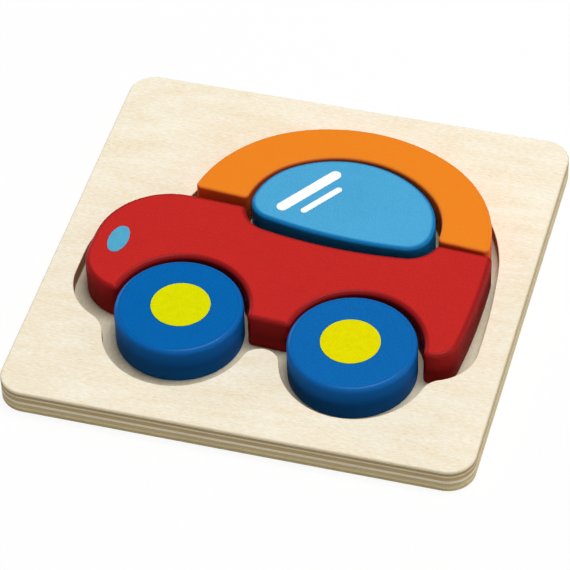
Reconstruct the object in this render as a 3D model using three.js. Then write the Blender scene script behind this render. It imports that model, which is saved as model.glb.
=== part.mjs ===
import * as THREE from 'three';

// A wooden tray puzzle: five loose painted blocks that make up a car, lying in one car-shaped recess.
// Lengths are in millimetres. The board lies on z = 0 with its middle on the origin.
// x runs from the car's nose to its tail, y from its wheels to its roof.

// Board: a plate with the recess cut right through it, glued to a plain base plate, both plywood.
const boardSide = 180;
const boardCorner = 10.5;
const boardEdgeRound = 0.8;
const baseBackPly = 1.2;
const baseCorePly = 1.6;
const baseFacePly = 1.2;
const frameBackPly = 1.5;
const frameLowerPly = 1.5;
const frameCorePly = 1;
const frameUpperPly = 1;
const frameFacePly = 1;

// All blocks
const blockThickness = 15;
const blockFootRound = 0.6;
const blockTip = 2.2;
const blockGap = 2.1;
const inkThickness = 0.1;

// Wheel discs, with a printed hub on each
const wheelRadius = 24.25;
const wheelRound = 2;
const archGap = 1.4;
const archDrop = 1.2;
const hubRadius = 11.2;

// Car body
const bodyHeight = 56.6;
const bodyRound = 1.8;
const noseOverhang = 18.35;
const tailOverhang = 12.1;
const bellyWidth = 16.75;
const noseRadius = 28.6;
const chinRadius = 19.4;
const tailRadius = 300;
const tailCorner = 9;
const tailBulgeDrop = 26;
const lampHalfWidth = 3.85;
const lampHalfHeight = 7.1;
const lampEndRadius = 2.7;
const lampInset = 10.1;
const lampDrop = 31.2;

// Window, half oval above its middle and round-cornered below it
const windowHalfWidth = 36.2;
const windowRise = 30.45;
const windowSideRadius = 27;
const windowCorner = 10.35;
const windowSillRadius = 180;
const windowRound = 1.7;
const cabinLift = 2.5;
const glintAngle = 59.2;
const longGlint = { x: -23.2, y: -2.7, length: 26.4, radius: 2.3 };
const shortGlint = { x: -14.6, y: -2.2, length: 17.2, radius: 1.35 };

// Roof, an arch round the window
const roofFoot = 21.1;
const roofCrown = 16.5;
const roofSideRadius = 52.5;
const roofRound = 1.2;
const roofMiddleDrop = 5.1;
const roofSetback = 2.1;
const roofFootGap = 1.3;
const openingShift = 0.6;

// Recess, the outline of the whole car with room to spare
const trayClearance = 3.5;
const trayHeadroom = 2.9;
const cabinClearance = 0.5;
const cabinDrop = 4.5;
const trayTailStep = 1.8;
const trayTailDrop = 12;
const socketClearance = 3.75;
const frontSocketLead = 1.2;
const rearSocketLead = 0.75;
const socketDrop = 0.5;
const tongueGap = 2.8;
const trayTailCorner = 18;
const trayHeelDrop = 0.65;
const chinFillet = 13;
const heelFillet = 9;
const cowlFillet = 6;
const carShift = { x: -0.4, y: -15.3 };

// How far the loose roof has slid and turned, in millimetres and degrees. The recess clears it there.
const roofSlip = { x: 0.84, y: 4.16, turn: -4.2 };

// How the other loose blocks have slid and turned: shares of the room they have, and degrees.
const bodySlip = { x: 0.24, y: 0.471, turn: -2.5 };
const windowSlip = { x: -0.18, y: 0.47, turn: -4.4 };
const frontWheelSlip = { x: -0.17, y: -0.44 };
const rearWheelSlip = { x: -0.6, y: -0.3 };
const frontHubDrift = { x: 0.5, y: 0.7 };
const rearHubDrift = { x: -0.75, y: 0.3 };

// An oval's end arcs stay a little tighter than half its width and than its rise.
const fullestSide = 0.97;

const chordError = 0.06;
const shortestEdge = 0.01;
const widestSweep = 1.6 * Math.PI;
const roundSteps = 2;

const woodRoughness = 0.7;
const paintRoughness = 0.45;
const inkRoughness = 0.5;

// Heights
const recessFloor = baseBackPly + baseCorePly + baseFacePly;

// Layout of the level car, from the body's belly up
const archRadius = wheelRadius + archGap;
const wheelBase = 2 * archRadius + bellyWidth;
const bodyLength = noseOverhang + 2 * archRadius + wheelBase + tailOverhang;
const bodyLeft = carShift.x - bodyLength / 2;
const bodyRight = bodyLeft + bodyLength;
const bodyBottom = carShift.y - bodyHeight / 2;
const bodyTop = bodyBottom + bodyHeight;
const frontArchX = bodyLeft + noseOverhang + archRadius;
const rearArchX = frontArchX + wheelBase;
const roofHalfWidth = windowHalfWidth + blockGap + roofFoot;
const roofRise = roofMiddleDrop + windowRise + blockGap + roofCrown;
const cabinX = bodyRight - roofSetback - roofHalfWidth + openingShift;
const cabinY = bodyTop + cabinLift;
const roofBase = roofFootGap - cabinLift;
const roofPlace = { x: cabinX + roofSlip.x, y: cabinY + roofSlip.y, turn: roofSlip.turn };

// An outline runs counter-clockwise round a chain of circles, joined by the tangents they share.
// It bulges round a circle of positive r and runs hollow round one of negative r.
// Every sample keeps its circle and heading, so one set of samples gives all parallel outlines.
function outline(circles) {
  const count = circles.length;
  const headings = circles.map((from, i) => {
    const to = circles[(i + 1) % count];
    const dx = to.x - from.x;
    const dy = to.y - from.y;
    const lean = THREE.MathUtils.clamp((from.r - to.r) / Math.hypot(dx, dy), -1, 1);
    return Math.atan2(dy, dx) + Math.asin(lean);
  });
  const starts = circles.map((circle, i) => headings[(i + count - 1) % count]);
  const sweeps = circles.map(({ r }, i) => sweepBetween(starts[i], headings[i], Math.sign(r)));
  // A circle that its neighbours' tangent passes by would be run round the long way, so it is left out.
  const passed = sweeps.findIndex((sweep) => Math.abs(sweep) > widestSweep);
  if (passed >= 0) return outline(circles.filter((_, i) => i !== passed));
  const samples = circles.flatMap((circle, i) => arc(circle, starts[i], sweeps[i]));
  const places = ring(samples, 0);
  const next = (i) => places[(i + 1) % places.length];
  return samples.filter((sample, i) => places[i].distanceTo(next(i)) > shortestEdge);
}

function sweepBetween(start, end, sign) {
  const sweep = THREE.MathUtils.euclideanModulo((end - start) * sign, 2 * Math.PI);
  return 2 * Math.PI - sweep < 1e-6 ? 0 : sign * sweep;
}

function arc(circle, start, sweep) {
  const step = 2 * Math.acos(1 - chordError / Math.abs(circle.r));
  const steps = Math.max(1, Math.ceil(Math.abs(sweep) / step));
  return Array.from({ length: steps + 1 }, (_, k) => ({ circle, heading: start + (sweep * k) / steps }));
}

function disc(radius, x = 0, y = 0) {
  return arc({ x, y, r: radius }, 0, 2 * Math.PI).slice(0, -1);
}

function ring(samples, inset) {
  return samples.map(({ circle, heading }) => {
    const reach = circle.r - inset;
    return new THREE.Vector2(circle.x + reach * Math.sin(heading), circle.y - reach * Math.cos(heading));
  });
}

// How far an outline, turned and put in its place, reaches from a point
function reachFrom(point, samples, place) {
  const middle = new THREE.Vector2();
  const turn = THREE.MathUtils.degToRad(place.turn);
  const spots = ring(samples, 0).map((p) => p.rotateAround(middle, turn).add(place));
  return Math.max(...spots.map((p) => p.distanceTo(point)));
}

// The point at two given distances from two others, left (1) or right (-1) of the way from a to b
function meet(a, reachA, b, reachB, side) {
  const dx = b.x - a.x;
  const dy = b.y - a.y;
  const span = Math.hypot(dx, dy);
  const along = (span ** 2 + reachA ** 2 - reachB ** 2) / (2 * span);
  const across = side * Math.sqrt(reachA ** 2 - along ** 2);
  return { x: a.x + (dx * along - dy * across) / span, y: a.y + (dy * along + dx * across) / span };
}

// The point at a given height and distance from another, right (1) or left (-1) of it
function atHeight(a, reach, y, side) {
  return { x: a.x + side * Math.sqrt(reach ** 2 - (y - a.y) ** 2), y };
}

const circleAt = (centre, r) => ({ x: centre.x, y: centre.y, r });
const grown = (circle, extra) => ({ ...circle, r: circle.r + extra });
const hollow = (circle, gap) => ({ ...circle, r: -circle.r - gap });
const moved = (circle, x, y) => ({ x: circle.x + x, y: circle.y + y, r: circle.r });

// The upper half of an oval from three arcs, named from its right end over the top to its left end
function halfOval(halfWidth, rise, sideRadius) {
  const side = Math.min(sideRadius, fullestSide * rise, fullestSide * halfWidth);
  const top = (halfWidth ** 2 + rise ** 2 - 2 * halfWidth * side) / (2 * (rise - side));
  return {
    right: { x: halfWidth - side, y: 0, r: side },
    top: { x: 0, y: rise - top, r: top },
    left: { x: side - halfWidth, y: 0, r: side },
  };
}

// Heights and insets of an upright wall with rounded lower and upper edges
function wallLevels(low, high, footRound, topRound) {
  const levels = footRound > 0 ? [[footRound, low]] : [];
  levels.push([0, low + footRound]);
  for (let k = 0; k <= roundSteps && topRound > 0; k += 1) {
    const angle = (k / roundSteps) * (Math.PI / 2);
    levels.push([topRound * (1 - Math.cos(angle)), high - topRound * (1 - Math.sin(angle))]);
  }
  if (topRound === 0) levels.push([0, high]);
  return levels;
}

// A closed solid over an outline, with an optional hole straight through it
function loft(samples, levels, hole = null) {
  const points = [];
  const faces = [];
  const addRing = (flat, z) => {
    const first = points.length;
    flat.forEach((p) => points.push(new THREE.Vector3(p.x, p.y, z)));
    return first;
  };
  const addWall = (low, high, count, outward) => {
    for (let i = 0; i < count; i += 1) {
      const j = (i + 1) % count;
      const quad = [low + i, low + j, high + j, high + i];
      if (!outward) quad.reverse();
      faces.push(quad[0], quad[1], quad[2], quad[0], quad[2], quad[3]);
    }
  };
  const outer = levels.map(([inset, z]) => addRing(ring(samples, inset), z));
  outer.slice(1).forEach((first, k) => addWall(outer[k], first, samples.length, true));
  const ends = [levels[0], levels[levels.length - 1]];
  const inner = hole ? ends.map(([, z]) => addRing(ring(hole, 0), z)) : [0, 0];
  if (hole) addWall(inner[0], inner[1], hole.length, false);
  const starts = [outer[0], outer[outer.length - 1]];
  ends.forEach(([inset], side) => {
    const holes = hole ? [ring(hole, 0)] : [];
    const triangles = THREE.ShapeUtils.triangulateShape(ring(samples, inset), holes);
    const place = (i) => (i < samples.length ? starts[side] + i : inner[side] + i - samples.length);
    triangles.forEach((t) => {
      const corner = t.map(place);
      faces.push(...(side === 1 ? corner : corner.reverse()));
    });
  });
  const geometry = new THREE.BufferGeometry().setFromPoints(points).setIndex(faces);
  geometry.computeVertexNormals();
  return geometry;
}

function piece(name, geometry, color, roughness) {
  const material = new THREE.MeshStandardMaterial({ color, roughness, metalness: 0, flatShading: true });
  const mesh = new THREE.Mesh(geometry, material);
  mesh.name = name;
  return mesh;
}

// Window, about the middle of its oval
const windowOval = halfOval(windowHalfWidth, windowRise, windowSideRadius);
const windowRightCorner = { x: windowHalfWidth - windowCorner, y: 0, r: windowCorner };
const windowLeftCorner = { x: windowCorner - windowHalfWidth, y: 0, r: windowCorner };
const sillHeight = Math.sqrt((windowSillRadius - windowCorner) ** 2 - windowRightCorner.x ** 2);
const windowSill = { x: 0, y: sillHeight, r: windowSillRadius };
const windowOutline = outline([
  windowRightCorner, windowOval.right, windowOval.top, windowOval.left, windowLeftCorner, windowSill,
]);

// Roof, about the middle of its opening, which passes round the window
const roofOval = halfOval(roofHalfWidth, roofRise, roofSideRadius);
const roofRight = moved(roofOval.right, -openingShift, -roofMiddleDrop);
const roofTop = moved(roofOval.top, -openingShift, -roofMiddleDrop);
const roofLeft = moved(roofOval.left, -openingShift, -roofMiddleDrop);
const roofFootHeight = roofBase + blockTip;
const outerReach = roofOval.right.r - blockTip;
const innerReach = windowOval.right.r + blockGap + blockTip;
const roofOutline = outline([
  circleAt(atHeight(roofRight, outerReach, roofFootHeight, 1), blockTip),
  roofRight,
  roofTop,
  roofLeft,
  circleAt(atHeight(roofLeft, outerReach, roofFootHeight, -1), blockTip),
  circleAt(atHeight(windowOval.left, innerReach, roofFootHeight, -1), blockTip),
  hollow(windowOval.left, blockGap),
  hollow(windowOval.top, blockGap),
  hollow(windowOval.right, blockGap),
  circleAt(atHeight(windowOval.right, innerReach, roofFootHeight, 1), blockTip),
]);

// Body, in place in the level car: nose and chin, two wheel arches, tail and a notch for the window
const nose = { x: bodyLeft + noseRadius, y: bodyTop - noseRadius, r: noseRadius };
const chin = { x: bodyLeft + chinRadius, y: bodyBottom + chinRadius, r: chinRadius };
const tail = { x: bodyRight - tailRadius, y: bodyTop - tailBulgeDrop, r: tailRadius };
const frontArch = { x: frontArchX, y: bodyBottom - archDrop, r: archRadius };
const rearArch = { x: rearArchX, y: bodyBottom - archDrop, r: archRadius };
const archReach = archRadius + blockTip;
const bellyTip = bodyBottom + blockTip;
const notchReach = windowCorner + blockGap + blockTip;
const notchLeft = moved(windowLeftCorner, cabinX, cabinY);
const notchRight = moved(windowRightCorner, cabinX, cabinY);
const bodyOutline = outline([
  circleAt(atHeight(notchLeft, notchReach, bodyTop - blockTip, -1), blockTip),
  nose,
  chin,
  circleAt(meet(chin, chinRadius - blockTip, frontArch, archReach, -1), blockTip),
  hollow(frontArch, 0),
  circleAt(atHeight(frontArch, archReach, bellyTip, 1), blockTip),
  circleAt(atHeight(rearArch, archReach, bellyTip, -1), blockTip),
  hollow(rearArch, 0),
  circleAt(atHeight(rearArch, archReach, bellyTip, 1), blockTip),
  circleAt(atHeight(tail, tailRadius - tailCorner, bodyBottom + tailCorner, 1), tailCorner),
  tail,
  circleAt(atHeight(tail, tailRadius - blockTip, bodyTop - blockTip, 1), blockTip),
  circleAt(atHeight(notchRight, notchReach, bodyTop - blockTip, 1), blockTip),
  hollow(notchRight, blockGap),
  hollow(moved(windowSill, cabinX, cabinY), blockGap),
  hollow(notchLeft, blockGap),
]);

// Recess, round the whole level car, with its wheel sockets a little ahead of the arches
const socketRadius = wheelRadius + socketClearance;
const frontSocket = circleAt(moved(frontArch, -frontSocketLead, -socketDrop), socketRadius);
const rearSocket = circleAt(moved(rearArch, -rearSocketLead, -socketDrop), socketRadius);
const socketBase = rearSocket.x - frontSocket.x;
const tongueRise = tongueGap - archDrop - socketDrop;
const tongueRadius = ((socketBase / 2) ** 2 + tongueRise ** 2 - socketRadius ** 2)
  / (2 * (socketRadius - tongueRise));
const tongue = {
  x: (frontSocket.x + rearSocket.x) / 2,
  y: bodyBottom - tongueGap - tongueRadius,
  r: -tongueRadius,
};
// One arc clears the whole roof as it lies.
const cabinMiddle = { x: cabinX - openingShift, y: cabinY - roofMiddleDrop - cabinDrop };
const trayCabin = circleAt(cabinMiddle, reachFrom(cabinMiddle, roofOutline, roofPlace) + cabinClearance);
// The wall behind the tail is one arc too, which leaves the cabin's and stands out a step past it.
const tailReach = trayCabin.r + trayTailStep;
const tailFall = trayCabin.y - tail.y + trayTailDrop;
const trayTailRadius = (tailReach ** 2 + tailFall ** 2 - trayCabin.r ** 2) / (2 * trayTailStep);
const trayTail = {
  x: trayCabin.x + tailReach - trayTailRadius,
  y: tail.y - trayTailDrop,
  r: trayTailRadius,
};
const heelHeight = bodyBottom - trayClearance - trayHeelDrop + trayTailCorner;
const trayHeel = circleAt(atHeight(trayTail, trayTail.r - trayTailCorner, heelHeight, 1), trayTailCorner);
const trayChin = grown(chin, trayClearance);
const trayNose = grown(moved(nose, 0, trayHeadroom), trayClearance);
const heelReach = rearSocket.r + heelFillet;
const chinReach = trayChin.r + chinFillet;
const cowlReach = trayCabin.r + cowlFillet;
const trayOutline = outline([
  frontSocket,
  tongue,
  rearSocket,
  circleAt(meet(rearSocket, heelReach, trayHeel, trayTailCorner + heelFillet, -1), -heelFillet),
  trayHeel,
  trayTail,
  trayCabin,
  circleAt(meet(trayCabin, cowlReach, trayNose, trayNose.r + cowlFillet, -1), -cowlFillet),
  trayNose,
  trayChin,
  circleAt(meet(trayChin, chinReach, frontSocket, frontSocket.r + chinFillet, -1), -chinFillet),
]);

// Board, one mesh for each ply from the underside up
const cornerAt = boardSide / 2 - boardCorner;
const boardOutline = outline([
  { x: cornerAt, y: -cornerAt, r: boardCorner },
  { x: cornerAt, y: cornerAt, r: boardCorner },
  { x: -cornerAt, y: cornerAt, r: boardCorner },
  { x: -cornerAt, y: -cornerAt, r: boardCorner },
]);
const board = new THREE.Group();
let level = 0;
function addPly(name, thickness, colour, hole, topRound = 0) {
  const levels = wallLevels(level, level + thickness, 0, topRound);
  board.add(piece(name, loft(boardOutline, levels, hole), colour, woodRoughness));
  level += thickness;
}
addPly('base_back_veneer', baseBackPly, 0xb9a77c, null);
addPly('base_core_veneer', baseCorePly, 0xc9b98f, null);
addPly('base_face_veneer', baseFacePly, 0xe9dfc4, null);
addPly('frame_back_veneer', frameBackPly, 0xd5c9a4, trayOutline);
addPly('frame_lower_crossband', frameLowerPly, 0xa88f63, trayOutline);
addPly('frame_core_veneer', frameCorePly, 0xd0c298, trayOutline);
addPly('frame_upper_crossband', frameUpperPly, 0xa98c5c, trayOutline);
addPly('frame_face_veneer', frameFacePly, 0xf3e9d2, trayOutline, boardEdgeRound);

// Blocks, each standing on the recess floor in a group of its own
const blockLevels = (round) => wallLevels(0, blockThickness, blockFootRound, round);
const inkLevels = wallLevels(blockThickness, blockThickness + inkThickness, 0, 0);

function block(x, y, turn) {
  const group = new THREE.Group();
  group.position.set(x, y, recessFloor);
  group.rotation.z = THREE.MathUtils.degToRad(turn);
  return group;
}

function glint({ x, y, length, radius }) {
  const angle = THREE.MathUtils.degToRad(glintAngle);
  const end = { x: x + length * Math.cos(angle), y: y + length * Math.sin(angle) };
  return outline([{ x, y, r: radius }, circleAt(end, radius)]);
}

const roof = block(roofPlace.x, roofPlace.y, roofPlace.turn);
const roofShape = loft(roofOutline, blockLevels(roofRound));
roof.add(piece('roof_block', roofShape, 0xf08722, paintRoughness));

const windowBlock = block(
  roof.position.x + windowSlip.x * blockGap,
  roof.position.y + windowSlip.y * blockGap,
  windowSlip.turn,
);
const windowShape = loft(windowOutline, blockLevels(windowRound));
windowBlock.add(piece('window_block', windowShape, 0x4daadb, paintRoughness));
windowBlock.add(piece('long_glint_print', loft(glint(longGlint), inkLevels), 0xfbfbfb, inkRoughness));
windowBlock.add(piece('short_glint_print', loft(glint(shortGlint), inkLevels), 0xfbfbfb, inkRoughness));

const lampOval = halfOval(lampHalfHeight, lampHalfWidth, lampEndRadius);
const lampX = bodyLeft + lampInset;
const lampY = bodyTop - lampDrop;
const lampOutline = outline([
  { x: lampX, y: lampY - lampOval.right.x, r: lampEndRadius },
  { x: lampX + lampOval.top.y, y: lampY, r: lampOval.top.r },
  { x: lampX, y: lampY + lampOval.right.x, r: lampEndRadius },
  { x: lampX - lampOval.top.y, y: lampY, r: lampOval.top.r },
]);
const bodyRoom = trayClearance + trayHeadroom;
const body = block(bodySlip.x * trayClearance, bodySlip.y * bodyRoom, bodySlip.turn);
const bodyShape = loft(bodyOutline, blockLevels(bodyRound));
body.add(piece('body_block', bodyShape, 0xc92d29, paintRoughness));
body.add(piece('headlight_print', loft(lampOutline, inkLevels), 0x52aed4, inkRoughness));
body.updateMatrix();

function wheel(name, arch, slip, hubName, drift) {
  const middle = new THREE.Vector3(arch.x, arch.y, 0).applyMatrix4(body.matrix);
  const group = block(middle.x + slip.x * archGap, middle.y + slip.y * archGap, 0);
  group.add(piece(name, loft(disc(wheelRadius), blockLevels(wheelRound)), 0x1267b4, paintRoughness));
  group.add(piece(hubName, loft(disc(hubRadius, drift.x, drift.y), inkLevels), 0xdedd02, inkRoughness));
  return group;
}

const carPuzzle = new THREE.Group();
carPuzzle.name = 'car_puzzle';
carPuzzle.add(board, roof, windowBlock, body);
carPuzzle.add(wheel('front_wheel_block', frontArch, frontWheelSlip, 'front_hub_print', frontHubDrift));
carPuzzle.add(wheel('rear_wheel_block', rearArch, rearWheelSlip, 'rear_hub_print', rearHubDrift));

export default carPuzzle;
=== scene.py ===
import math

import bpy
import numpy as np
from mathutils import Matrix, Vector
from mathutils.geometry import delaunay_2d_cdt


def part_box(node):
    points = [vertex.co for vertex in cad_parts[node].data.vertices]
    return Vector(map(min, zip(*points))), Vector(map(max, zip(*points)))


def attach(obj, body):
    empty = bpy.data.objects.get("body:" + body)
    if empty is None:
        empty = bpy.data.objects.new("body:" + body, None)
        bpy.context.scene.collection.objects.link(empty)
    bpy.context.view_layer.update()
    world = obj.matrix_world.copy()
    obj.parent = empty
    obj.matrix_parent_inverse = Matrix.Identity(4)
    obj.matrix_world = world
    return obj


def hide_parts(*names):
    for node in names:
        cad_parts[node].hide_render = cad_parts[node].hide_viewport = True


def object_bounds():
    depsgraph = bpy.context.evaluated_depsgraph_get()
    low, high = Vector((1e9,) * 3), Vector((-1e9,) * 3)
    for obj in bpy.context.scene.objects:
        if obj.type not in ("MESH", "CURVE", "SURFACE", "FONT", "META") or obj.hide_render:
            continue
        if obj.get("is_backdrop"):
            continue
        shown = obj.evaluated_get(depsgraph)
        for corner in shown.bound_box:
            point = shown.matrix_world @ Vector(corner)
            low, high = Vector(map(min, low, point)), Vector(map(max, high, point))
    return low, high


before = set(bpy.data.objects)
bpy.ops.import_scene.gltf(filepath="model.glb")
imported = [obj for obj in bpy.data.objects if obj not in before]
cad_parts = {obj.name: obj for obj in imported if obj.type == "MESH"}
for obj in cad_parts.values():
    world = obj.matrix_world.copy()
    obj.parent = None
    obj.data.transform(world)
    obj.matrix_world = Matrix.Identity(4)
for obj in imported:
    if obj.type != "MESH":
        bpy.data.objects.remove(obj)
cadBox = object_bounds()
mm = 0.001
print("puzzle frame loaded,", len(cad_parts), "nodes")


# Outlines: the upright walls of the frame's solids, traced and drawn again as true curves

curveSettings = {
    "stepsPerFacet": 5,       # fine points between two corners of the solid
    "longestStep": 2.5 * mm,  # on straight stretches
    "upright": 0.001,         # how far a wall's normal may lean
    "alike": 0.01,            # facets whose lengths differ by less than this share are of one arc
    "digits": 6,              # corners are matched to the micrometre
    "level": 1e-6,            # and heights too
    "capStep": 5 * mm,        # points on the flats
    "capMerge": 1e-5,         # in millimetres, points on a flat nearer than this are one
}


def traceLoops(nodeName):
    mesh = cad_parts[nodeName].data
    walls = [face for face in mesh.polygons if abs(face.normal.z) < curveSettings["upright"]]
    corner = lambda index: mesh.vertices[index].co
    foot = min(corner(index).z for face in walls for index in face.vertices)
    spot = lambda point: tuple(round(c, curveSettings["digits"]) for c in point.xy)
    following = {}
    for face in walls:
        ends = [corner(index) for index in face.vertices]
        for start, end in zip(ends, ends[1:] + ends[:1]):
            if max(abs(start.z - foot), abs(end.z - foot)) < curveSettings["level"]:
                following[spot(start)] = spot(end)
    loops = []
    while following:
        here = next(iter(following))
        loop = []
        while here in following:
            loop.append(Vector(here))
            here = following.pop(here)
        loops.append(fineLoop(loop))
    reach = lambda loop: max(point.x for point, normal in loop)
    return sorted(loops, key=reach, reverse=True)


def turnBetween(first, second):
    return math.atan2(first.x * second.y - first.y * second.x, first.dot(second))


# Every corner of the solid lies on the true outline, which is made of arcs and straight lines.
# Half the turn between two alike facets is how far the outline turns in half a facet.
def halfTurns(turns, lengths):
    count = len(turns)
    alike = lambda i, j: abs(lengths[i] - lengths[j]) < curveSettings["alike"] * lengths[i]
    halves = {}
    for i in range(count):
        after = (i + 1) % count
        if alike(i, i - 1):
            halves[i] = turns[i] / 2
        elif alike(i, after):
            halves[i] = turns[after] / 2
    for i in set(range(count)) - set(halves):    # lone facets take what their neighbours leave
        before, after = (i - 1) % count, (i + 1) % count
        left = [turns[i] - halves[before]] if before in halves else []
        left += [turns[after] - halves[after]] if after in halves else []
        halves[i] = sum(left) / max(1, len(left))
    return [halves[i] for i in range(count)]


# Points along the outline with their outward normals, one smooth curve from corner to corner
def fineLoop(corners):
    count = len(corners)
    facets = [corners[(i + 1) % count] - corners[i] for i in range(count)]
    turns = [turnBetween(facets[i - 1], facets[i]) for i in range(count)]
    halves = halfTurns(turns, [facet.length for facet in facets])
    tangents = []
    for i in range(count):
        heading = math.atan2(facets[i].y, facets[i].x) - (halves[i] + turns[i] - halves[i - 1]) / 2
        tangents.append(Vector((math.cos(heading), math.sin(heading))))
    loop = []
    for i in range(count):
        start, end = corners[i], corners[(i + 1) % count]
        leave, arrive = tangents[i], tangents[(i + 1) % count]
        bend = turnBetween(leave, arrive) / 2
        reach = facets[i].length / 3 * 2 / (1 + math.cos(bend))    # a curve with such handles is an arc
        early = start + leave * reach
        late = end - arrive * reach
        needed = math.ceil(facets[i].length / curveSettings["longestStep"])
        steps = max(curveSettings["stepsPerFacet"], needed)
        for k in range(steps):
            t = k / steps
            s = 1 - t
            point = start * s**3 + early * (3 * s * s * t) + late * (3 * s * t * t) + end * t**3
            along = (early - start) * (s * s) + (late - early) * (2 * s * t) + (end - late) * (t * t)
            along.normalize()
            loop.append((point, Vector((along.y, -along.x))))
    return loop


# A solid from loops and their profiles. A profile runs up the wall as (inset, height, marks),
# and marks are kept on the points for the finish to read.
def buildPiece(name, loops, profiles, finish, markNames):
    points, faces, marks = [], [], []
    lows, highs = [], []
    for loop, profile in zip(loops, profiles):
        size = len(loop)
        first = len(points)
        for inset, height, mark in profile:
            points += [(p.x - n.x * inset, p.y - n.y * inset, height) for p, n in loop]
            marks += [mark] * size
        for level in range(len(profile) - 1):
            low = first + level * size
            for i in range(size):
                j = (i + 1) % size
                faces.append((low + i, low + j, low + size + j, low + size + i))
        lows.append(range(first, first + size))
        highs.append(range(len(points) - size, len(points)))
    for rings, side in ((lows, -1), (highs, 1)):
        faces += capFaces(points, marks, rings, side)
    mesh = bpy.data.meshes.new(name)
    mesh.from_pydata(points, [], faces)
    mesh.shade_smooth()
    for place, markName in enumerate(markNames):
        attribute = mesh.attributes.new(markName, "FLOAT", "POINT")
        attribute.data.foreach_set("value", [mark[place] for mark in marks])
    mesh.materials.append(finish)
    piece = bpy.data.objects.new(name, mesh)
    bpy.context.scene.collection.objects.link(piece)
    return piece


# A spot is inside when a line from it to the right crosses the rings an odd number of times
def insideRings(spots, rings):
    x, y = spots[:, 0, None], spots[:, 1, None]
    crossings = 0
    for ring in rings:
        a, b = ring, np.roll(ring, -1, axis=0)
        spans = (a[:, 1] > y) != (b[:, 1] > y)
        rise = np.where(a[:, 1] == b[:, 1], 1, b[:, 1] - a[:, 1])
        left = x < a[:, 0] + (y - a[:, 1]) * (b[:, 0] - a[:, 0]) / rise
        crossings = crossings + (spans & left).sum(axis=1)
    return crossings % 2 == 1


# Triangles over a flat, with a grid of points inside so that none is long and thin
def capFaces(points, marks, rings, side):
    step = curveSettings["capStep"]
    outlines = [np.array([points[index][:2] for index in ring]) for ring in rings]
    border = np.concatenate(outlines)
    count = int((border.max() - border.min()) / step) + 2
    axis = (np.arange(count) + 0.5) * step + border.min()
    grid = np.array([(x + step / 2 * (row % 2), y) for row, y in enumerate(axis) for x in axis])
    grid = grid[insideRings(grid, outlines)]
    clear = [np.hypot(*(border - spot).T).min() > step / 2 for spot in grid]
    grid = grid[np.array(clear, bool)]
    known = [index for ring in rings for index in ring]
    known += range(len(points), len(points) + len(grid))
    height, mark = points[rings[0][0]][2], marks[rings[0][0]]
    points += [(x, y, height) for x, y in grid.tolist()]
    marks += [mark] * len(grid)
    edges, first = [], 0
    for ring in rings:
        edges += [(first + i, first + (i + 1) % len(ring)) for i in range(len(ring))]
        first += len(ring)
    spots = [Vector(spot) / mm for spot in np.concatenate([border, grid])]
    wholeHull = 0    # triangles over the openings too, which are sorted out below
    made = delaunay_2d_cdt(spots, edges, [], wholeHull, curveSettings["capMerge"])
    places, triangles, sources = made[0], made[2], made[3]
    middles = np.array([sum((places[k] for k in t), Vector((0, 0))) / 3 * mm for t in triangles])
    kept = [t for t, inside in zip(triangles, insideRings(middles, outlines)) if inside]
    return [[known[sources[k][0]] for k in (t if side > 0 else t[::-1])] for t in kept]


# A quarter round as (inset, rise, wear), from the wall over to the flat. Half way round wears most.
def quarterRound(radius, steps):
    angles = [math.pi / 2 * k / steps for k in range(steps + 1)]
    return [(radius * (1 - math.cos(a)), radius * math.sin(a), math.sin(2 * a)) for a in angles]


def place(piece, body, node, slot):
    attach(piece, body)
    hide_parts(node)


# Finishes: sums on sockets read as sums, and every other node comes from add()

class Wire:
    def __init__(self, socket):
        self.socket = socket

    def math(self, operation, first, second):
        made = self.socket.id_data.nodes.new("ShaderNodeMath")
        made.operation = operation
        plug(made.inputs[0], first)
        plug(made.inputs[1], second)
        return Wire(made.outputs[0])

    def __add__(self, other):
        return self.math("ADD", self, other)

    def __radd__(self, other):
        return self.math("ADD", other, self)

    def __sub__(self, other):
        return self.math("SUBTRACT", self, other)

    def __rsub__(self, other):
        return self.math("SUBTRACT", other, self)

    def __mul__(self, other):
        return self.math("MULTIPLY", self, other)

    def __rmul__(self, other):
        return self.math("MULTIPLY", other, self)


def plug(socket, value):
    if isinstance(value, Wire):
        socket.id_data.links.new(value.socket, socket)
    else:
        socket.default_value = value


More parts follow.
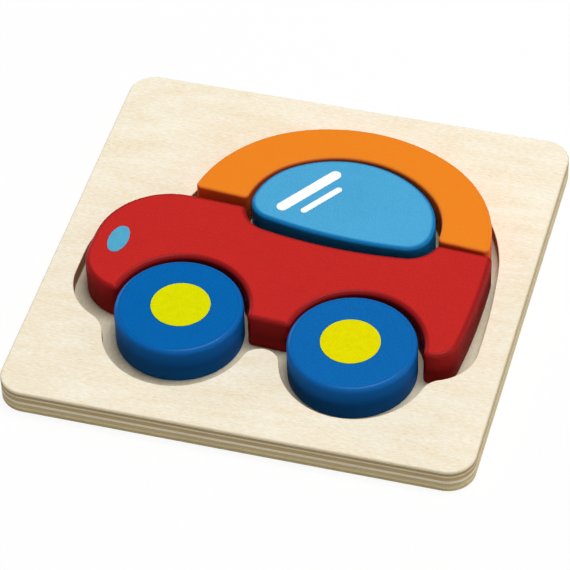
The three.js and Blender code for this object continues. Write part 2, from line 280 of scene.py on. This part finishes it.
class Finish:
    def __init__(self, name, **fixed):
        self.material = bpy.data.materials.new(name)
        self.material.use_nodes = True
        self.tree = self.material.node_tree
        self.surface = self.tree.nodes["Principled BSDF"]
        for socketName, value in fixed.items():
            plug(self.surface.inputs[socketName.replace("_", " ")], value)
        self.spot = self.add("TexCoord", output="Object")

    # settings are set first, then sockets get their values or links
    def add(self, kind, settings=None, sockets=None, output=0):
        made = self.tree.nodes.new("ShaderNode" + kind)
        for name, value in (settings or {}).items():
            setattr(made, name, value)
        for name, value in (sockets or {}).items():
            plug(made.inputs[name], value)
        return Wire(made.outputs[output])

    # noise with features of this length and width, in metres, running at this angle
    def grain(self, length, width, depth=None, turn=0, detail=4, roughness=0.55):
        sizes = (length, width, width if depth is None else depth)
        stretched = self.add("Mapping", {"vector_type": "TEXTURE"}, {
            "Vector": self.spot, "Scale": sizes, "Rotation": (0, 0, turn),
        })
        return self.add("TexNoise", {}, {
            "Vector": stretched, "Scale": 1, "Detail": detail, "Roughness": roughness,
        })

    # 0 below low, 1 above high, and a ramp between
    def between(self, value, low, high):
        return self.add("MapRange", {}, {"Value": value, "From Min": low, "From Max": high})

    # what buildPiece kept on the points
    def mark(self, name):
        return self.add("Attribute", {"attribute_name": name}, output="Fac")

    # a Mix node has like-named sockets for every type: its colours are 6 and 7, and 2 on the way out
    def mix(self, share, first, second):
        return self.add("Mix", {"data_type": "RGBA"}, {0: share, 6: first, 7: second}, output=2)

    def finish(self, colour, roughness, height, relief):
        bump = self.add("Bump", {}, {"Height": height, "Distance": relief, "Strength": 1})
        plug(self.surface.inputs["Base Color"], colour)
        plug(self.surface.inputs["Roughness"], roughness)
        plug(self.surface.inputs["Normal"], bump)
        return self.material


# screen levels from 0 to 255 as linear light
def shade(red, green, blue):
    linear = lambda c: c / 12.92 if c <= 0.04045 else ((c + 0.055) / 1.055) ** 2.4
    return (*(linear(c / 255) for c in (red, green, blue)), 1)


# Board: eight veneers, five of them with the car sawn out

veneerLook = {
    "pale": (249, 243, 226),
    "tan": (237, 219, 184),
    # the recess floor is the same birch as the top, drawn darker here as painted shade in the recess
    "shadedFloorPale": (215, 208, 187),
    "shadedFloorTan": (200, 188, 161),
    "fleck": (196, 164, 116),
    "fibre": (2.2 * mm, 0.55 * mm),
    "streak": (24 * mm, 0.9 * mm),
    "fleckSize": (3.4 * mm, 0.34 * mm),
    "cloud": (26 * mm, 11 * mm),
    "figure": (150 * mm, 26 * mm),
    "figureRings": 9,
    "fibreShare": 0.7,            # shares of each in the tone
    "streakShare": 0.1,
    "cloudShare": 0.2,
    "ringShare": 0.1,
    "toneLimits": (0.43, 0.65),
    "fleckLimits": (0.66, 0.74),
    "fleckCloud": (0.4, 0.65),    # flecks gather where the cloud is dense
    "fleckShare": 0.55,
    "fleckDent": 0.5,
    "roughness": 0.58,
    "fibreRough": 0.14,
    "relief": 0.05 * mm,
}

plyLook = {
    "recessShadeTint": (146, 82, 44),    # painted shade: the sawn recess walls drawn darker and browner, as shade and warm bounce fall there
    "seamTint": (112, 88, 54),
    "layer": (14 * mm, 14 * mm, 0.3 * mm),
    "pore": (0.35 * mm, 0.35 * mm, 0.9 * mm),
    "sawMark": (0.7 * mm, 0.7 * mm, 9 * mm),
    "deep": 0.72,                 # of the edge colour, in layers and pores
    "layerLimits": (0.25, 0.75),
    "layerShare": 0.35,
    "poreLimits": (0.56, 0.74),
    "poreShare": 0.4,
    "sawMarkLimits": (0.3, 0.7),
    "recessShadeShare": 0.45,
    "sawMarkShare": 0.45,
    "seamShare": 0.7,
    "rough": 0.12,                # rougher than the faces by this
}

boardPlies = [
    {"node": "base_back_veneer", "name": "basePlyBack", "slot": "pale_veneer",
     "edge": (233, 213, 163)},
    {"node": "base_core_veneer", "name": "basePlyCore", "slot": "pale_veneer",
     "edge": (242, 224, 171)},
    {"node": "base_face_veneer", "name": "basePlyFace", "slot": "face_veneer",
     "edge": (224, 200, 153)},
    {"node": "frame_back_veneer", "name": "framePlyBack", "slot": "pale_veneer",
     "edge": (252, 240, 210)},
    {"node": "frame_lower_crossband", "name": "framePlyLowerBand", "slot": "dark_veneer",
     "edge": (211, 180, 128)},
    {"node": "frame_core_veneer", "name": "framePlyCore", "slot": "pale_veneer",
     "edge": (236, 227, 191)},
    {"node": "frame_upper_crossband", "name": "framePlyUpperBand", "slot": "dark_veneer",
     "edge": (200, 168, 116)},
    {"node": "frame_face_veneer", "name": "framePlyFace", "slot": "face_veneer",
     "edge": (236, 222, 188)},
]

boardShape = {
    "seam": 0.05 * mm,      # depth of the groove between two veneers
    "seamRise": 0.12 * mm,
    "topRound": 0.8 * mm,
    "lipRound": 0.3 * mm,
    "footRound": 0.3 * mm,
    "rim": 0.4 * mm,        # flat margin that keeps the faces level
    "roundSteps": 6,
}


def veneerFinish(ply):
    look = Finish(ply["name"] + "Wood", IOR=1.45, Specular_IOR_Level=0.25)
    isBase = ply["node"].startswith("base")
    turn = math.pi / 2 if isBase else 0        # the base plate lies across the frame plate
    fibre = look.grain(*veneerLook["fibre"], turn=turn, detail=5, roughness=0.75)
    streak = look.grain(*veneerLook["streak"], turn=turn, detail=3)
    fleck = look.grain(*veneerLook["fleckSize"], turn=turn, detail=2)
    fleck = look.between(fleck, *veneerLook["fleckLimits"])
    cloud = look.grain(*veneerLook["cloud"], turn=turn, detail=4)
    figure = look.grain(*veneerLook["figure"], turn=turn, detail=1)
    ring = look.add("Math", {"operation": "PINGPONG"}, {0: figure * veneerLook["figureRings"], 1: 0.5})
    tone = fibre * veneerLook["fibreShare"] + streak * veneerLook["streakShare"]
    tone = tone + cloud * veneerLook["cloudShare"] + ring * veneerLook["ringShare"]
    tone = look.between(tone, *veneerLook["toneLimits"])
    # the base veneers take the shaded floor colours: painted shade on the recess floor
    pale, tan = (veneerLook[k] for k in (("shadedFloorPale", "shadedFloorTan") if isBase else ("pale", "tan")))
    face = look.mix(tone, shade(*pale), shade(*tan))
    dense = look.between(cloud, *veneerLook["fleckCloud"])
    face = look.mix(fleck * dense * veneerLook["fleckShare"], face, shade(*veneerLook["fleck"]))

    layer = look.grain(*plyLook["layer"], detail=4)
    pore = look.between(look.grain(*plyLook["pore"], detail=2), *plyLook["poreLimits"])
    layered = look.between(layer, *plyLook["layerLimits"])
    edgeShare = layered * plyLook["layerShare"] + pore * plyLook["poreShare"]
    deep = shade(*(c * plyLook["deep"] for c in ply["edge"]))
    edge = look.mix(edgeShare, shade(*ply["edge"]), deep)
    sawMark = look.between(look.grain(*plyLook["sawMark"], detail=3), *plyLook["sawMarkLimits"])
    recessShade = plyLook["recessShadeShare"] + sawMark * plyLook["sawMarkShare"]
    # the sawn recess walls take the painted shade tint, streaked by the saw marks
    sawn = look.mix(recessShade, edge, shade(*plyLook["recessShadeTint"]))
    edge = look.mix(look.mark("sawn"), edge, sawn)
    edge = look.mix(look.mark("seam") * plyLook["seamShare"], edge, shade(*plyLook["seamTint"]))

    wall = look.mark("wall")
    colour = look.mix(wall, face, edge)
    roughness = veneerLook["roughness"] + fibre * veneerLook["fibreRough"] + wall * plyLook["rough"]
    height = (fibre - fleck * veneerLook["fleckDent"]) * (1 - wall) + (layer - pore) * wall
    return look.finish(colour, roughness, height, veneerLook["relief"])


# A veneer's wall ends in a round where its radius, top or foot, isn't 0, or else in half a seam
def plyProfile(low, high, top, foot, sawn):
    steps = boardShape["roundSteps"]
    rim, seam, rise = boardShape["rim"], boardShape["seam"], boardShape["seamRise"]
    face, wall, groove = (0, 0, sawn), (1, 0, sawn), (1, 1, sawn)
    rings = []
    if foot:
        rings.append((foot + rim, low, face))
        rings += [(i, low + foot - r, wall) for i, r, wear in quarterRound(foot, steps)[::-1]]
    else:
        rings += [(seam + rim, low, groove), (seam, low, groove), (0, low + rise, wall)]
    if top:
        rings += [(i, high - top + r, (1 - i / top, 0, sawn)) for i, r, wear in quarterRound(top, steps)]
        rings.append((top + rim, high, face))
    else:
        rings += [(0, high - rise, wall), (seam, high, groove), (seam + rim, high, groove)]
    return rings


def makeBoard():
    for order, ply in enumerate(boardPlies):
        low, high = (corner.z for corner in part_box(ply["node"]))
        loops = traceLoops(ply["node"])
        isTop = order == len(boardPlies) - 1
        foot = boardShape["footRound"] if order == 0 else 0
        top = boardShape["topRound"] if isTop else 0
        profiles = [plyProfile(low, high, top, foot, 0)]
        if len(loops) > 1:
            profiles.append(plyProfile(low, high, boardShape["lipRound"] if isTop else 0, 0, 1))
        elif ply["node"] == "base_face_veneer":
            profiles = [floorProfile(low, high)]
        piece = buildPiece(ply["name"], loops, profiles, veneerFinish(ply), ("wall", "seam", "sawn"))
        place(piece, "board", ply["node"], ply["slot"])


# The recess floor is the top of the base: its wall marks stop at the rim
def floorProfile(low, high):
    rings = plyProfile(low, high, 0, 0, 0)
    inset, height, groove = rings[-1]
    rings[-1] = (inset, height, (0, 0, 0))
    return rings


# Blocks: one thickness of wood, edges rounded over, sprayed with satin paint

blockShape = {
    "footRound": 0.6 * mm,
    "rim": 0.12 * mm,
    "roundSteps": 8,
    "fatEdge": 0.04 * mm,       # paint gathers in a faint bead along the top edge
    "fatEdgeWidth": 0.2 * mm,
    "footWear": 0.6,            # against the top edge
    "creaseFrom": 0.99,         # share of the top round, where it meets the bead
}

paintLook = {
    "peel": 0.9 * mm,           # orange peel of the sprayed coat
    "speckle": 0.5 * mm,
    "mottle": 5 * mm,
    "cloud": 40 * mm,
    "grain": (30 * mm, 0.9 * mm),
    "speckleShare": 0.8,        # shares of each in the tone
    "mottleShare": 0.15,
    "cloudShare": 0.1,
    "grainShare": 0.1,
    "toneLimits": (0.42, 0.73),
    "wallTone": 0.3,
    "creaseShadeDeep": 0.78,         # of the colour, painted shade along the line where the round meets the flat
    "wornLight": 0.1,           # towards white, on worn edges
    "wornLimits": (0.3, 0.7),
    "wornShare": 0.2,
    "roughness": 0.24,
    "mottleRough": 0.08,
    "wallRough": 0.25,
    "peelHeight": 0.5,
    "grainHeight": 0.6,
    "relief": 0.02 * mm,
}

# each block's side colour is painted shade on its walls, darker than the top; the roof's is also redder, a
# painted bounce of light from the red body
blocks = [
    {"node": "roof_block", "name": "roofArch", "body": "roof", "slot": "orange_paint",
     "colour": (240, 134, 34), "side": (245, 95, 44), "shadedSideRamp": (0.6, 1), "creaseShade": 0.2, "gloss": 0.05,
     "deep": 0.97, "topRound": 1.2 * mm, "grainTurn": 0.0},
    {"node": "window_block", "name": "windowPane", "body": "window", "slot": "light_blue_paint",
     "colour": (81, 176, 224), "side": (0, 120, 188), "shadedSideRamp": (0, 0.4), "creaseShade": 0.2, "gloss": 0.05,
     "deep": 0.88, "topRound": 1.7 * mm, "grainTurn": 0.1},
    {"node": "body_block", "name": "carBody", "body": "car_body", "slot": "red_paint",
     "colour": (208, 44, 40), "side": (150, 26, 27), "shadedSideRamp": (0, 0.3), "creaseShade": 0.6, "gloss": 0.05,
     "deep": 0.86, "topRound": 1.8 * mm, "grainTurn": -0.04},
    {"node": "front_wheel_block", "name": "frontWheel", "body": "front_wheel", "slot": "blue_paint",
     "colour": (8, 107, 186), "side": (10, 97, 177), "shadedSideRamp": (0, 1), "creaseShade": 0.6, "gloss": 0.12,
     "deep": 0.84, "topRound": 2.0 * mm, "grainTurn": 0.6},
    {"node": "rear_wheel_block", "name": "rearWheel", "body": "rear_wheel", "slot": "blue_paint",
     "colour": (16, 111, 190), "side": (10, 97, 177), "shadedSideRamp": (0, 1), "creaseShade": 0.6, "gloss": 0.12,
     "deep": 0.84, "topRound": 2.0 * mm, "grainTurn": -0.9},
]


def paintFinish(block):
    look = Finish(block["name"] + "Paint", IOR=1.47, Specular_IOR_Level=0.04, Coat_Roughness=0.22)
    peel = look.grain(paintLook["peel"], paintLook["peel"], detail=2)
    speckle = look.grain(paintLook["speckle"], paintLook["speckle"], detail=2)
    mottle = look.grain(paintLook["mottle"], paintLook["mottle"], detail=5, roughness=0.7)
    cloud = look.grain(paintLook["cloud"], paintLook["cloud"], detail=2)
    grain = look.grain(*paintLook["grain"], turn=block["grainTurn"], detail=4)
    worn = look.mark("edge")
    base = shade(*block["colour"])
    deep = shade(*(c * block["deep"] for c in block["colour"]))
    creaseShade = shade(*(c * paintLook["creaseShadeDeep"] for c in block["colour"]))
    light = shade(*(c + (255 - c) * paintLook["wornLight"] for c in block["colour"]))
    tone = speckle * paintLook["speckleShare"] + mottle * paintLook["mottleShare"]
    tone = tone + cloud * paintLook["cloudShare"] + grain * paintLook["grainShare"]
    tone = look.between(tone, *paintLook["toneLimits"])
    colour = look.mix(tone, base, deep)
    wornShare = worn * look.between(mottle, *paintLook["wornLimits"]) * paintLook["wornShare"]
    colour = look.mix(wornShare, colour, light)
    # the walls take the side colour over the ramp: painted shade, and on the roof a painted red bounce
    side = look.mark("side")
    wall = look.mix(tone * paintLook["wallTone"], shade(*block["side"]), deep)
    colour = look.mix(look.between(side, *block["shadedSideRamp"]), colour, wall)
    # painted shade: a darker line where the top round meets the flat
    colour = look.mix(look.mark("creaseShade") * block["creaseShade"], colour, creaseShade)
    roughness = paintLook["roughness"] + mottle * paintLook["mottleRough"] + side * paintLook["wallRough"]
    height = peel * paintLook["peelHeight"] + grain * paintLook["grainHeight"]
    plug(look.surface.inputs["Coat Weight"], worn * block["gloss"])
    return look.finish(colour, roughness, height, paintLook["relief"])


def blockProfile(low, high, topRound):
    foot, rim = blockShape["footRound"], blockShape["rim"]
    bead, width = blockShape["fatEdge"], blockShape["fatEdgeWidth"]
    steps = blockShape["roundSteps"]
    flat = (0, 0, 0)
    rings = [(foot + rim, low, flat)]
    for inset, rise, wear in quarterRound(foot, steps)[::-1]:
        rings.append((inset, low + foot - rise, (wear * blockShape["footWear"], 1, 0)))
    for inset, rise, wear in quarterRound(topRound, steps):
        # the last ring of the top round carries the painted crease shade
        creaseShade = float(inset > topRound * blockShape["creaseFrom"])
        rings.append((inset, high - topRound + rise, (wear, 1 - inset / topRound, creaseShade)))
    rings.append((topRound + width, high - bead, flat))
    rings.append((topRound + width + rim, high - bead, flat))
    return rings


def makeBlocks():
    for block in blocks:
        low, high = (corner.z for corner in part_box(block["node"]))
        profile = blockProfile(low, high, block["topRound"])
        loops = traceLoops(block["node"])
        piece = buildPiece(block["name"], loops, [profile], paintFinish(block), ("edge", "side", "creaseShade"))
        place(piece, block["body"], block["node"], block["slot"])


# Prints: thin films of ink on the blocks

inkShape = {"round": 0.05 * mm, "roundSteps": 3, "rim": 0.1 * mm}

inkLook = {
    "speckle": 0.5 * mm,
    "blotch": 3.2 * mm,
    "speckleShare": 0.65,
    "blotchShare": 0.35,
    "thinLimits": (0.42, 0.62),
    "roughness": 0.42,
    "speckleRough": 0.15,
    "relief": 0.012 * mm,
}

prints = [
    {"node": "long_glint_print", "name": "longGlint", "body": "window", "slot": "white_ink",
     "colour": (253, 253, 252), "thin": (243, 247, 249)},
    {"node": "short_glint_print", "name": "shortGlint", "body": "window", "slot": "white_ink",
     "colour": (253, 253, 252), "thin": (243, 247, 249)},
    {"node": "headlight_print", "name": "headlight", "body": "car_body", "slot": "light_blue_ink",
     "colour": (86, 172, 206), "thin": (78, 161, 195)},
    {"node": "front_hub_print", "name": "frontHub", "body": "front_wheel", "slot": "yellow_ink",
     "colour": (223, 224, 0), "thin": (211, 212, 0)},
    {"node": "rear_hub_print", "name": "rearHub", "body": "rear_wheel", "slot": "yellow_ink",
     "colour": (230, 222, 0), "thin": (217, 209, 0)},
]


def inkFinish(ink):
    look = Finish(ink["name"] + "Ink", IOR=1.45, Specular_IOR_Level=0.02)
    speckle = look.grain(inkLook["speckle"], inkLook["speckle"], detail=3)
    blotch = look.grain(inkLook["blotch"], inkLook["blotch"], detail=3)
    thin = speckle * inkLook["speckleShare"] + blotch * inkLook["blotchShare"]
    thin = look.between(thin, *inkLook["thinLimits"])
    colour = look.mix(thin, shade(*ink["colour"]), shade(*ink["thin"]))
    roughness = inkLook["roughness"] + speckle * inkLook["speckleRough"]
    return look.finish(colour, roughness, speckle, inkLook["relief"])


def makePrints():
    for ink in prints:
        low, high = (corner.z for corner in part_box(ink["node"]))
        curve = quarterRound(inkShape["round"], inkShape["roundSteps"])
        rings = [(0, low, ())]
        rings += [(i, high - inkShape["round"] + r, ()) for i, r, wear in curve]
        rings.append((inkShape["round"] + inkShape["rim"], high, ()))
        piece = buildPiece(ink["name"], traceLoops(ink["node"]), [rings], inkFinish(ink), ())
        place(piece, ink["body"], ink["node"], ink["slot"])


# Floor, lamps and camera

floorSettings = {
    "halfSide": 6,
    "drop": 0.1 * mm,
    "white": 0.92,
    "glow": 0.9,    # share of pure white that the camera sees, the rest takes shadows
}

lamps = [
    {"name": "overheadLamp", "place": (0.24, 0.22, 1.75), "size": (0.8, 1.1), "watts": 30.0},
    {"name": "leftLamp", "place": (-1.1, 0.9, 0.35), "size": (0.5, 0.5), "watts": 4.0},
    {"name": "rightLamp", "place": (1.1, 0.1, 0.5), "size": (0.5, 0.5), "watts": 1.6},
    {"name": "frontLamp", "place": (0.3, -1.3, 0.7), "size": (0.9, 0.6), "watts": 1.2},
]

skyLight = (0.06, 0.06, 0.06, 1)

cameraSettings = {
    "target": (-2.58 * mm, -2.92 * mm, 0),
    "azimuth": 16.89,      # degrees
    "elevation": 45.11,
    "roll": -2.11,
    "distance": 1255.76 * mm,
    "lens": 207.56,
    "sensor": 36,
}


def makeFloor():
    look = Finish("floorWhite")
    reach, level = floorSettings["halfSide"], -floorSettings["drop"]
    ray = lambda kind: look.add("LightPath", output="Is " + kind + " Ray")
    seen = ray("Camera") + ray("Glossy") + ray("Transmission")
    matt = look.add("BsdfDiffuse", {}, {"Color": (*[floorSettings["white"]] * 3, 1)})
    glow = look.add("Emission", {}, {"Color": (1, 1, 1, 1), "Strength": 1})
    both = look.add("MixShader", {}, {0: seen * floorSettings["glow"], 1: matt, 2: glow})
    look.tree.links.new(both.socket, look.tree.nodes["Material Output"].inputs["Surface"])
    mesh = bpy.data.meshes.new("floor")
    signs = ((-1, -1), (1, -1), (1, 1), (-1, 1))
    mesh.from_pydata([(x * reach, y * reach, level) for x, y in signs], [], [(0, 1, 2, 3)])
    mesh.materials.append(look.material)
    floor = bpy.data.objects.new("floor", mesh)
    bpy.context.scene.collection.objects.link(floor)
    floor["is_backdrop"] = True


def makeLamps():
    for settings in lamps:
        light = bpy.data.lights.new(settings["name"], "AREA")
        light.shape = "RECTANGLE"
        light.size, light.size_y = settings["size"]
        light.energy = settings["watts"]
        lamp = bpy.data.objects.new(settings["name"], light)
        lamp.location = settings["place"]
        lamp.rotation_euler = (-lamp.location).to_track_quat("-Z", "Y").to_euler()
        bpy.context.scene.collection.objects.link(lamp)
    world = bpy.data.worlds.new("studio")
    world.use_nodes = True
    world.node_tree.nodes["Background"].inputs["Color"].default_value = skyLight
    bpy.context.scene.world = world


def makeCamera():
    angles = (cameraSettings[k] for k in ("azimuth", "elevation", "roll"))
    azimuth, elevation, roll = map(math.radians, angles)
    level = math.cos(elevation)
    back = Vector((math.sin(azimuth) * level, -math.cos(azimuth) * level, math.sin(elevation)))
    right = Vector((math.cos(azimuth), math.sin(azimuth), 0))
    up = back.cross(right)
    across = right * math.cos(roll) + up * math.sin(roll)
    upright = up * math.cos(roll) - right * math.sin(roll)
    data = bpy.data.cameras.new("photoCamera")
    data.lens = cameraSettings["lens"]
    data.sensor_width = cameraSettings["sensor"]
    camera = bpy.data.objects.new("photoCamera", data)
    turned = Matrix((across, upright, back)).transposed().to_4x4()
    spot = Vector(cameraSettings["target"]) + back * cameraSettings["distance"]
    camera.matrix_world = Matrix.Translation(spot) @ turned
    bpy.context.scene.collection.objects.link(camera)
    bpy.context.scene.camera = camera


makeCamera()
makeFloor()
makeLamps()
print("studio ready")
makeBoard()
print("board laid up from", len(boardPlies), "veneers")
makeBlocks()
print("blocks painted:", len(blocks))
makePrints()
print("prints laid on:", len(prints))

bpy.context.scene.view_settings.view_transform = "Standard"
boxes = {"cad": cadBox, "visual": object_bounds()}
{name: [list(corner) for corner in box] for name, box in boxes.items()}
